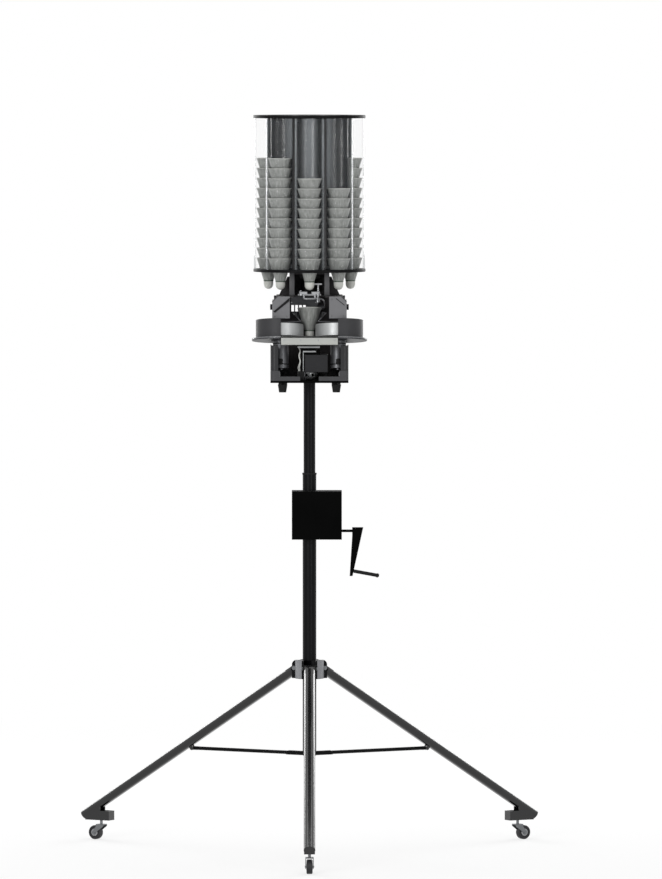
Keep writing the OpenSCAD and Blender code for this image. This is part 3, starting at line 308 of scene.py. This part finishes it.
def circle(radius, z, sides, at, shape=None):
    """A ring of points about Z. shape(angle) scales the radius."""
    ring = []
    for i in range(sides):
        a = 2 * math.pi * i / sides
        r = radius * (shape(a) if shape else 1)
        ring.append(at @ Vector((r * math.cos(a), r * math.sin(a), z)))
    return ring


def lathe(bm, profile, sides, at=Matrix(), joined=False, index=0):
    """Turns a profile of radii and heights round Z."""
    loft(bm, [circle(r, z, sides, at) for r, z in profile], joined, index)


def prism(bm, outline, low, high, at=Matrix()):
    """An outline in X and Y, raised from low to high."""
    loft(bm, [[at @ Vector((x, y, z)) for x, y in outline] for z in (low, high)])


def block(bm, low, high, ease, at=Matrix()):
    """A box between two corners with eased edges."""
    size = [h - l for l, h in zip(low, high)]
    middle = [(h + l) / 2 for l, h in zip(low, high)]
    made = bmesh.ops.create_cube(bm, size=1, matrix=move(*middle) @ Matrix.Diagonal((*size, 1)))
    edges = list({e for v in made["verts"] for e in v.link_edges})
    made = bmesh.ops.bevel(bm, geom=edges, offset=ease, segments=2, affect="EDGES", profile=0.6)
    verts = {v for f in made["faces"] for v in f.verts}
    bmesh.ops.transform(bm, matrix=at, verts=list(verts))


def curve_points(points, steps=6):
    """A smooth path through the points."""
    points = [Vector(p) for p in points]
    ends = [2 * points[0] - points[1]] + points + [2 * points[-1] - points[-2]]
    path = []
    for a, b, c, d in zip(ends, ends[1:], ends[2:], ends[3:]):
        for i in range(steps):
            t = i / steps
            path.append(0.5 * (2 * b + (c - a) * t + (2 * a - 5 * b + 4 * c - d) * t ** 2
                               + (3 * b - a - 3 * c + d) * t ** 3))
    return path + [points[-1]]


def sweep(bm, points, wide, deep=None, sides=12):
    """A bar of oval section along a smooth path."""
    path = curve_points(points)
    side = Vector((0, 0, 1)).cross(path[1] - path[0])
    if side.length < 0.01:
        side = Vector((1, 0, 0))
    rings = []
    for i, p in enumerate(path):
        along = (path[min(i + 1, len(path) - 1)] - path[max(i - 1, 0)]).normalized()
        side = (side - along * side.dot(along)).normalized()
        up = along.cross(side)
        angles = [2 * math.pi * k / sides for k in range(sides)]
        rings.append([p + side * wide * math.cos(a) + up * (deep or wide) * math.sin(a)
                      for a in angles])
    loft(bm, rings)


def screw(bm, at, radius):
    """Button head with a hexagon socket, raised along the local Z."""
    def hexagon(a):
        return math.cos(math.pi / 6) / math.cos(a % (math.pi / 3) - math.pi / 6)
    rise = radius * 0.55
    head = [(1, 0), (1, 0.4), (0.82, 0.85), (0.6, 1)]
    socket = [(0.5, 1), (0.48, 0.35)]
    rings = [circle(radius * wide, rise * high, 24, at) for wide, high in head]
    rings += [circle(radius * wide, rise * high, 24, at, hexagon) for wide, high in socket]
    loft(bm, rings)


SHARP_FROM = 35    # degrees


def piece(name, bm, finishes, body, replaces=()):
    """Turns a bmesh into an object that rides on a body."""
    bmesh.ops.recalc_face_normals(bm, faces=bm.faces)
    bm.transform(ROW)
    mesh = bpy.data.meshes.new(name)
    bm.to_mesh(mesh)
    bm.free()
    mesh.polygons.foreach_set("use_smooth", [True] * len(mesh.polygons))
    mesh.set_sharp_from_angle(angle=math.radians(SHARP_FROM))
    for material in finishes:
        mesh.materials.append(material)
    obj = bpy.data.objects.new(name, mesh)
    scene.collection.objects.link(obj)
    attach(obj, body)
    if replaces:
        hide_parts(*replaces)
    return obj


# CAD nodes keep their shape and get a finish and edges eased by so many millimetres
WELD_GAP = 0.01
FLAT_WITHIN = 0.6    # degrees
EDGE_FROM = 32       # degrees


def dress(finish_used, ease, *nodes):
    for node in nodes:
        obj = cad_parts[node]
        obj.data.materials.clear()
        obj.data.materials.append(finish_used)
        obj.data.polygons.foreach_set("use_smooth", [True] * len(obj.data.polygons))
        weld = obj.modifiers.new("weld", "WELD")
        weld.merge_threshold = WELD_GAP * MM
        flat = obj.modifiers.new("flat", "DECIMATE")
        flat.decimate_type = "DISSOLVE"
        flat.angle_limit = math.radians(FLAT_WITHIN)
        bevel = obj.modifiers.new("ease", "BEVEL")
        bevel.width = ease * MM
        bevel.segments = 2
        bevel.limit_method = "ANGLE"
        bevel.angle_limit = math.radians(EDGE_FROM)
        normals = obj.modifiers.new("normals", "WEIGHTED_NORMAL")
        normals.weight = 100
        normals.keep_sharp = True


def dress_nodes():
    dress(MAST_BLACK, 0.5, "mast_outer", "mast_inner")
    dress(PLASTIC, 0.5, "mast_top_bush", "crank_grip", "power_inlet", "tilt_bolts", "hopper_motor")
    dress(MAST_BLACK, 0.8, "leg_hub")
    dress(STEEL, 0.4, "claw_bracket", "claw_left", "claw_right", "rack_pinion", "mast_rack")
    dress(FORK, 0.4, "leg_pivot_bolts")
    for name in LEG_AZIMUTHS:
        dress(LEG_BLACK, 0.5, f"leg_{name}")
        dress(DISC_BLACK, 0.5, f"brace_{name}")
        dress(FORK, 0.4, f"caster_fork_{name}")
        dress(TYRE, 0.5, f"caster_wheel_{name}")
    dress(DISC_BLACK, 0.5, "spreader")
    dress(BOX_BLACK, 1.0, "winch_housing", "crank_arm", "crank_shaft", "base_plate")
    dress(BOX_BLACK, 0.4, "winch_cover")
    dress(BRONZE, 0.3, "winch_bushes")
    dress(NYLON, 0.3, "mast_glide_bush")
    dress(CHEEK_GRAY, 0.6, "left_cheek", "right_cheek", "head_socket")
    dress(TOWER_GRAY, 0.5, "feed_tower", "rear_panel")
    dress(PANEL_DARK, 0.6, "left_side_panel", "right_side_panel")
    dress(TRAY_GRAY, 0.5, "base_tray")
    dress(CONTROL_GRAY, 1.2, "control_box")
    dress(MOTOR_GRAY, 0.6, "feed_motor", "throw_motors")
    dress(FUNNEL_GRAY, 0.3, "funnel")
    dress(FLANGE, 0.5, "throw_base")
    dress(LIP_PALE, 0.6, "front_lip")
    dress(GUARD_DARK, 0.4, "wheel_guards")
    dress(SILVER, 0.5, "throw_wheel_left", "throw_wheel_right")
    dress(RUBBER, 0.6, "rubber_feet")
    dress(DISC_BLACK, 1.2, "hopper_base_disc", "hopper_top_disc")
    dress(SMOKE, 0.3, "hopper_core")
    dress(CLEAR, 0.3, "hopper_tubes")


# Shuttlecocks: domed cork, band, and a fluted skirt with a ring round it and a thicker rim
SKIRT_FOOT_R = 13.6
SKIRT_TOP_R = SKIRT_R - 0.6
SKIRT_WALL = 0.7
SKIRT_RIBS = 16
FLUTE_DEPTH = 0.016
RING_AT = 0.42


def skirt_place(share):
    """Radius and height of the skirt's outside, from 0 at its foot to 1 at its rim."""
    return (SKIRT_FOOT_R + (SKIRT_TOP_R - SKIRT_FOOT_R) * share,
            SKIRT_LOW + (SHUTTLE_LEN - SKIRT_LOW) * share)


def add_shuttle(bm, at):
    dome = [(0.2, 0), (4.5, 0.8), (8.6, 3.1), (11.8, 7.0), (CORK_R, CORK_R),
            (CORK_R, SKIRT_LOW), (10, 25)]
    lathe(bm, dome, 20, at)
    lathe(bm, [(13.0, 21.5), (14.1, 22), (14.1, 27), (13.0, 27.6)], 20, at, joined=True, index=1)

    def skirt_ring(share, inward):
        r, z = skirt_place(share)
        return circle(r - inward, z, 3 * SKIRT_RIBS, at,
                      lambda a: 1 + FLUTE_DEPTH * share * math.cos(SKIRT_RIBS * a))

    outer = [skirt_ring(share, 0) for share in (0, 0.35, 0.7, 1)]
    inner = [skirt_ring(share, SKIRT_WALL) for share in (1, 0.5, 0)]
    loft(bm, outer + inner, joined=True, index=2)
    rim = [(SKIRT_R - 1.6, SHUTTLE_LEN - 1.3), (SKIRT_R - 0.2, SHUTTLE_LEN - 1.3),
           (SKIRT_R - 0.1, SHUTTLE_LEN - 0.1), (SKIRT_R - 1.4, SHUTTLE_LEN - 0.1)]
    lathe(bm, rim, 40, at, joined=True)
    r, z = skirt_place(RING_AT)
    ring = [(r - 0.2, z - 1), (r + 0.9, z - 0.6), (r + 1.0, z + 0.6), (r + 0.1, z + 1)]
    lathe(bm, ring, 24, at, joined=True, index=2)


def build_shuttles():
    for k, count in enumerate(STACK):
        bm = bmesh.new()
        for i in range(count):
            z = HOPPER_LOW - SHUTTLE_HANG + i * STACK_PITCH
            # The ribs of neighbours aren't in line
            spin = turn("Z", 7 * ((3 * i + 5 * k) % 4))
            tube = turn("Z", -90 + 360 / len(STACK) * k)
            add_shuttle(bm, tube @ move(TUBE_PITCH_R, 0, z) @ spin)
        piece(f"shuttles_{k + 1}", bm, [CORK, BAND, SKIRT], "hopper",
              replaces=("shuttle_stacks", "top_shuttles"))
    bm = bmesh.new()
    add_shuttle(bm, THROW @ move(0, LOADED_Y, FLANGE_TOP + 0.1))
    piece("waiting_shuttle", bm, [CORK, BAND, SKIRT], "throw_unit",
          replaces=("loaded_shuttle",))


# Feed: lever from the long pin to the actuator, guide strap, tower flanges, actuator screws
def build_feed():
    bm = bmesh.new()
    path = [(24, -84, 1550), (30, -80, 1557), (39, -66, 1552), (43, -44, 1540), (42, -20, 1531)]
    sweep(bm, path, 1.6, 3.2)
    lathe(bm, [(2.6, 1547), (5.0, 1547), (5.0, 1553), (2.6, 1553)], 24, move(24, -84, 0), True)
    piece("feed_lever", bm, [STEEL], "head")

    bm = bmesh.new()
    for side in SIDES:
        block(bm, (side * 15.7 - 2, -80.6, 1555), (side * 15.7 + 2, -79.2, 1577), 0.4)
    block(bm, (-18, -80.6, 1555), (23, -79.2, 1558.5), 0.4)
    piece("guide_strap", bm, [STEEL], "head")

    bm = bmesh.new()
    for side in SIDES:
        low, high = sorted((side * 42, side * 56))
        block(bm, (low, -70, DECK_TOP), (high, -68, 1629), 0.5)
    piece("tower_flanges", bm, [FLANGE_EDGE], "head")

    bm = bmesh.new()
    for x in (-50, 18):
        for z in (1545, 1559):
            screw(bm, move(x, -28.6, z) @ turn("X", 90), 2.2)
    piece("actuator_screws", bm, [STEEL], "head")


# Cheeks: raised rib on the left, thin gusset line on the right, corner caps and screws
def build_cheek_trim():
    bm = bmesh.new()
    face = move(0, CHEEK_FRONT, 0) @ turn("X", 90)
    prism(bm, [(-101, 1524), (-96, 1521), (-56, 1553), (-56, 1562)], 0, 1.6, face)
    prism(bm, [(73, 1560.5), (97.5, 1541), (99, 1542), (74.5, 1561.5)], 0, 0.8, face)
    piece("cheek_ribs", bm, [PLASTIC], "head")

    bm = bmesh.new()
    for side in SIDES:
        corner = ((104.6, 1551.7), (90.3, DECK_TOP), (89, 1565), (103, 1551))
        prism(bm, [(side * x, z) for x, z in corner], -26, 0.6, face)
    piece("cheek_edging", bm, [PLASTIC], "head")

    bm = bmesh.new()
    for side in SIDES:
        for x, z in ((62, 1512), (96, 1512), (62, 1558)):
            screw(bm, move(side * x, CHEEK_FRONT, z) @ turn("X", 90), 2.4)
    piece("cheek_screws", bm, [CHEEK_GRAY], "head")


# Throwing unit: beads and hub nuts of the wheels, a steel ring on the flange's rim as a painted
# highlight, a dark strip over the lip as a painted shadow under the flange, screws of the flange,
# motor bands
def build_wheel_trim():
    for name, side in (("left", -1), ("right", 1)):
        bm = bmesh.new()
        at = THROW @ move(side * WHEEL_X, 0, WHEEL_LOW + WHEEL_H)
        bead = [(54.6, -0.6), (63.1, -0.6), (63.1, 0.8), (62.3, 1.4), (55.2, 1.4), (54.6, 0.8)]
        lathe(bm, bead, 96, at, True)
        loft(bm, [circle(r, z, 6, at) for r, z in ((7, -0.2), (7, 2.6), (6.2, 3.2))])
        piece(f"wheel_bead_{name}", bm, [PLASTIC], f"throw_wheel_{name}")
    # Painted highlight: a bright steel ring along the flange's rim where its edge catches the light
    bm = bmesh.new()
    for side in SIDES:
        at = THROW @ move(side * WHEEL_X, 0, FLANGE_TOP)
        rim = [(79.6, -0.4), (80.9, -0.9), (81.1, -2), (80.9, -2.4), (79.6, 0.4)]
        lathe(bm, rim, 96, at, True)
    piece("flange_rim_highlight", bm, [STEEL], "throw_unit")
    # Painted shadow: a dark strip over the lip where the flange's edge shades it
    bm = bmesh.new()
    block(bm, (-79.2, -85.6, -94), (79.2, -84.2, -89.4), 0.4, THROW)
    piece("lip_shadow_strip", bm, [PLASTIC], "throw_unit")
    bm = bmesh.new()
    for side in SIDES:
        under = THROW @ move(side * WHEEL_X, 0, FLANGE_TOP - FLANGE_T)
        for a in (40, 130, 220, 310):
            screw(bm, under @ turn("Z", a) @ move(34, 0, 0) @ turn("X", 180), 3)
    for x in (-70, -25, 25, 70):
        screw(bm, THROW @ move(x, -85, -101) @ turn("X", 90), 2.2)
    piece("flange_screws", bm, [STEEL], "throw_unit")
    bm = bmesh.new()
    for side in SIDES:
        at = THROW @ move(side * WHEEL_X, 0, FLANGE_TOP - FLANGE_T - MOTOR_LEN)
        for z in (10, MOTOR_LEN - 10):
            lathe(bm, [(21.6, z), (22.5, z), (22.5, z + 3), (21.6, z + 3)], 48, at, True)
        block(bm, (-6, -26, 10), (6, -21, 26), 0.8, at)
    piece("motor_bands", bm, [PLASTIC], "throw_unit")


# Lower body: tilt drive over the control box, plug and leads, corner blocks, clamp of the
# socket, ears of the bulkhead and pins of the mains inlet
def build_lower_body():
    bm = bmesh.new()
    block(bm, (-22, -160, 1403), (18, -126, 1422), 1)
    block(bm, (21, -162, 1403), (30, -150, 1417), 0.8)
    piece("tilt_drive", bm, [BOX_BLACK], "head")
    bm = bmesh.new()
    block(bm, (-32, -164, 1422), (29, -122, 1427), 0.8)
    block(bm, (-18, -166, 1410), (18, -160, 1414), 0.6)
    block(bm, (-18.4, -163, 1344), (-16.2, -160.5, 1411), 0.4)
    piece("tilt_bracket", bm, [BRACKET_GRAY], "head")

    bm = bmesh.new()
    block(bm, (-34, -166, BASE_TOP), (-14, -144, 1357), 1)
    for x in (-30, -24, -18):
        block(bm, (x - 2, -168, 1346), (x + 2, -165, 1356), 0.4)
    piece("motor_plug", bm, [PLASTIC], "head", replaces=("motor_wiring",))
    bm = bmesh.new()
    for k, x in enumerate((-29, -26.5)):
        sway = 2.5 - 1.5 * k
        path = [(x, -155 + k, 1355), (x - sway, -156 + k, 1368), (x + sway, -158, 1384),
                (x - 1, -155, 1400), (x + sway, -150, 1414), (x - 4, -140, 1425)]
        sweep(bm, path, 1, sides=10)
    piece("motor_leads", bm, [WIRE], "head")

    # Blocks at the tray's front corners, their light gray a painted highlight on the corners
    bm = bmesh.new()
    for side in SIDES:
        x = side * 86
        block(bm, (x - 4, BODY_FRONT + 3, BASE_TOP), (x + 4, BODY_FRONT + 12, 1355), 1)
    piece("corner_blocks", bm, [CORNER_HIGHLIGHT], "head")

    bm = bmesh.new()
    collar = [(20.05, 1333), (23, 1333), (23.4, 1334), (23.4, 1348), (23, 1349), (20.05, 1349)]
    lathe(bm, collar, 64, joined=True)
    for side in SIDES:
        block(bm, (side * 9 - 6.5, -27, 1334), (side * 9 + 6.5, -20, 1348), 1.5)
    piece("socket_clamp", bm, [CLAMP_GRAY], "head")
    bm = bmesh.new()
    for side in SIDES:
        screw(bm, move(side * 9, -27, 1341) @ turn("X", 90), 4.2)
    piece("clamp_screws", bm, [BOX_BLACK], "head")

    bm = bmesh.new()
    for side in SIDES:
        low, high = sorted((side * 74, side * 100))
        block(bm, (low, 24.2, 1440), (high, 26.8, 1506), 0.4)
    piece("bulkhead_ears", bm, [TOWER_GRAY], "head")

    bm = bmesh.new()
    for x, low in ((-75.5, 1342), (-67.5, 1342), (-71.5, 1345)):
        block(bm, (x, BODY_REAR + 1, low), (x + 3, BODY_REAR + 3.8, 1350), 0.3)
    piece("inlet_pins", bm, [STEEL], "head")


# Casters: hub caps on both faces of the wheels
def build_casters():
    face_z = CASTER_W / 2
    cap = [(2.7, face_z - 1), (10.4, face_z - 1), (10.4, face_z - 0.1), (8.6, face_z + 0.5),
           (2.7, face_z + 0.6)]
    for name, azimuth in LEG_AZIMUTHS.items():
        at = turn("Z", azimuth) @ move(CASTER_REACH, 0, CASTER_R) @ turn("X", 90)
        bm = bmesh.new()
        for half_turn in (180, 0):
            lathe(bm, cap, 40, at @ turn("X", half_turn), True)
        piece(f"caster_hub_{name}", bm, [CASTER_HUB], f"caster_wheel_{name}")


# Painted highlight: light gray shells on the black hub between its clevises stand in for the light
# on its curved faces; screws of the winch cover
def build_stand_trim():
    bm = bmesh.new()
    for azimuth in (-30, 90, 210):
        steps = [math.radians(azimuth + a) for a in range(-27, 28, 3)]
        outline = [(r * math.cos(a), r * math.sin(a))
                   for r, angles in ((40.5, steps), (39.9, steps[::-1])) for a in angles]
        prism(bm, outline, 487, 537.5)
    piece("hub_highlight_faces", bm, [HUB_HIGHLIGHT], "stand")
    bm = bmesh.new()
    for x in (-39.5, 80.7):
        for z in (890, 1005):
            screw(bm, move(x, 28, z) @ turn("X", -90), 3.6)
    piece("cover_screws", bm, [STEEL], "stand")


# Floor, light and camera
def seen_rays(tree):
    """1 for rays from the camera, off gloss or through glass, else 0."""
    path = tree.nodes.new("ShaderNodeLightPath")
    seen = path.outputs["Is Camera Ray"]
    for ray in ("Is Glossy Ray", "Is Transmission Ray"):
        seen = math_node(tree, "MAXIMUM", seen, path.outputs[ray])
    return seen


FLOOR_HALF = 60       # metres
FLOOR_GRAY = 0.8
GLOW_REACH = (0.9, 5)
GLOW_SHARE = (0.66, 1)
WORLD_LIGHT = 0.6     # strength for all but the seen rays


def build_stage():
    """White floor and world. The floor glows more with distance, so it has no horizon."""
    mesh = bpy.data.meshes.new("floor")
    corners = [(x * FLOOR_HALF, y * FLOOR_HALF, 0) for x, y in ((-1, -1), (1, -1), (1, 1), (-1, 1))]
    mesh.from_pydata(corners, [], [(0, 1, 2, 3)])
    floor = bpy.data.objects.new("floor", mesh)
    scene.collection.objects.link(floor)
    material, tree, shader = new_finish("floor_white")
    shader.inputs["Base Color"].default_value = (FLOOR_GRAY, FLOOR_GRAY, FLOOR_GRAY, 1)
    shader.inputs["Roughness"].default_value = 0.9
    shader.inputs["Specular IOR Level"].default_value = 0
    reach = tree.nodes.new("ShaderNodeVectorMath")
    reach.operation = "LENGTH"
    tree.links.new(object_place(tree), reach.inputs[0])
    glow = map_range(tree, reach.outputs["Value"], GLOW_REACH, GLOW_SHARE, "SMOOTHSTEP")
    white = tree.nodes.new("ShaderNodeEmission")
    mix = tree.nodes.new("ShaderNodeMixShader")
    tree.links.new(math_node(tree, "MULTIPLY", seen_rays(tree), glow), mix.inputs[0])
    tree.links.new(shader.outputs["BSDF"], mix.inputs[1])
    tree.links.new(white.outputs["Emission"], mix.inputs[2])
    tree.links.new(mix.outputs["Shader"], tree.nodes["Material Output"].inputs["Surface"])
    mesh.materials.append(material)

    world = bpy.data.worlds.new("studio")
    world.use_nodes = True
    scene.world = world
    tree = world.node_tree
    back = tree.nodes["Background"]
    back.inputs["Color"].default_value = (1, 1, 1, 1)
    level = map_range(tree, seen_rays(tree), (0, 1), (WORLD_LIGHT, 1))
    tree.links.new(level, back.inputs["Strength"])


def area_light(name, place, aim, width, height, power):
    data = bpy.data.lights.new(name, "AREA")
    data.shape = "RECTANGLE"
    data.size = width
    data.size_y = height
    data.energy = power
    lamp = bpy.data.objects.new(name, data)
    lamp.location = place
    lamp.rotation_euler = (Vector(aim) - Vector(place)).to_track_quat("-Z", "Y").to_euler()
    scene.collection.objects.link(lamp)


def build_lights():
    aim = (0, MAST_Y, 1.2)
    area_light("key", (-3.2, MAST_Y - 6.5, 2.6), aim, 2.4, 2.8, 190)
    area_light("fill", (3.6, MAST_Y - 5.5, 1.8), aim, 1.6, 2.8, 80)
    area_light("top", (0, MAST_Y + 0.3, 5.2), (0, MAST_Y, 0), 2.2, 2.2, 50)
    for side in SIDES:
        area_light(f"rim_{side}", (side * 2.3, MAST_Y + 3.6, 2.6), aim, 1.8, 2.2, 80)


def build_camera():
    """Distance, height and lens follow from the horizon and the casters in the photograph."""
    distance, height, lens = 25.5, 2.35, 371.9
    pitch, yaw = 2.675, 0.136    # degrees down and to the right
    data = bpy.data.cameras.new("camera")
    data.lens = lens
    data.sensor_width = 36
    data.clip_end = 200
    camera = bpy.data.objects.new("camera", data)
    camera.location = (0, MAST_Y - distance, height)
    camera.rotation_euler = (math.radians(90 - pitch), 0, math.radians(-yaw))
    scene.collection.objects.link(camera)
    scene.camera = camera


dress_nodes()
build_shuttles()
build_feed()
build_cheek_trim()
build_wheel_trim()
build_lower_body()
build_casters()
build_stand_trim()
build_stage()
build_lights()
build_camera()
scene.view_settings.view_transform = "Standard"
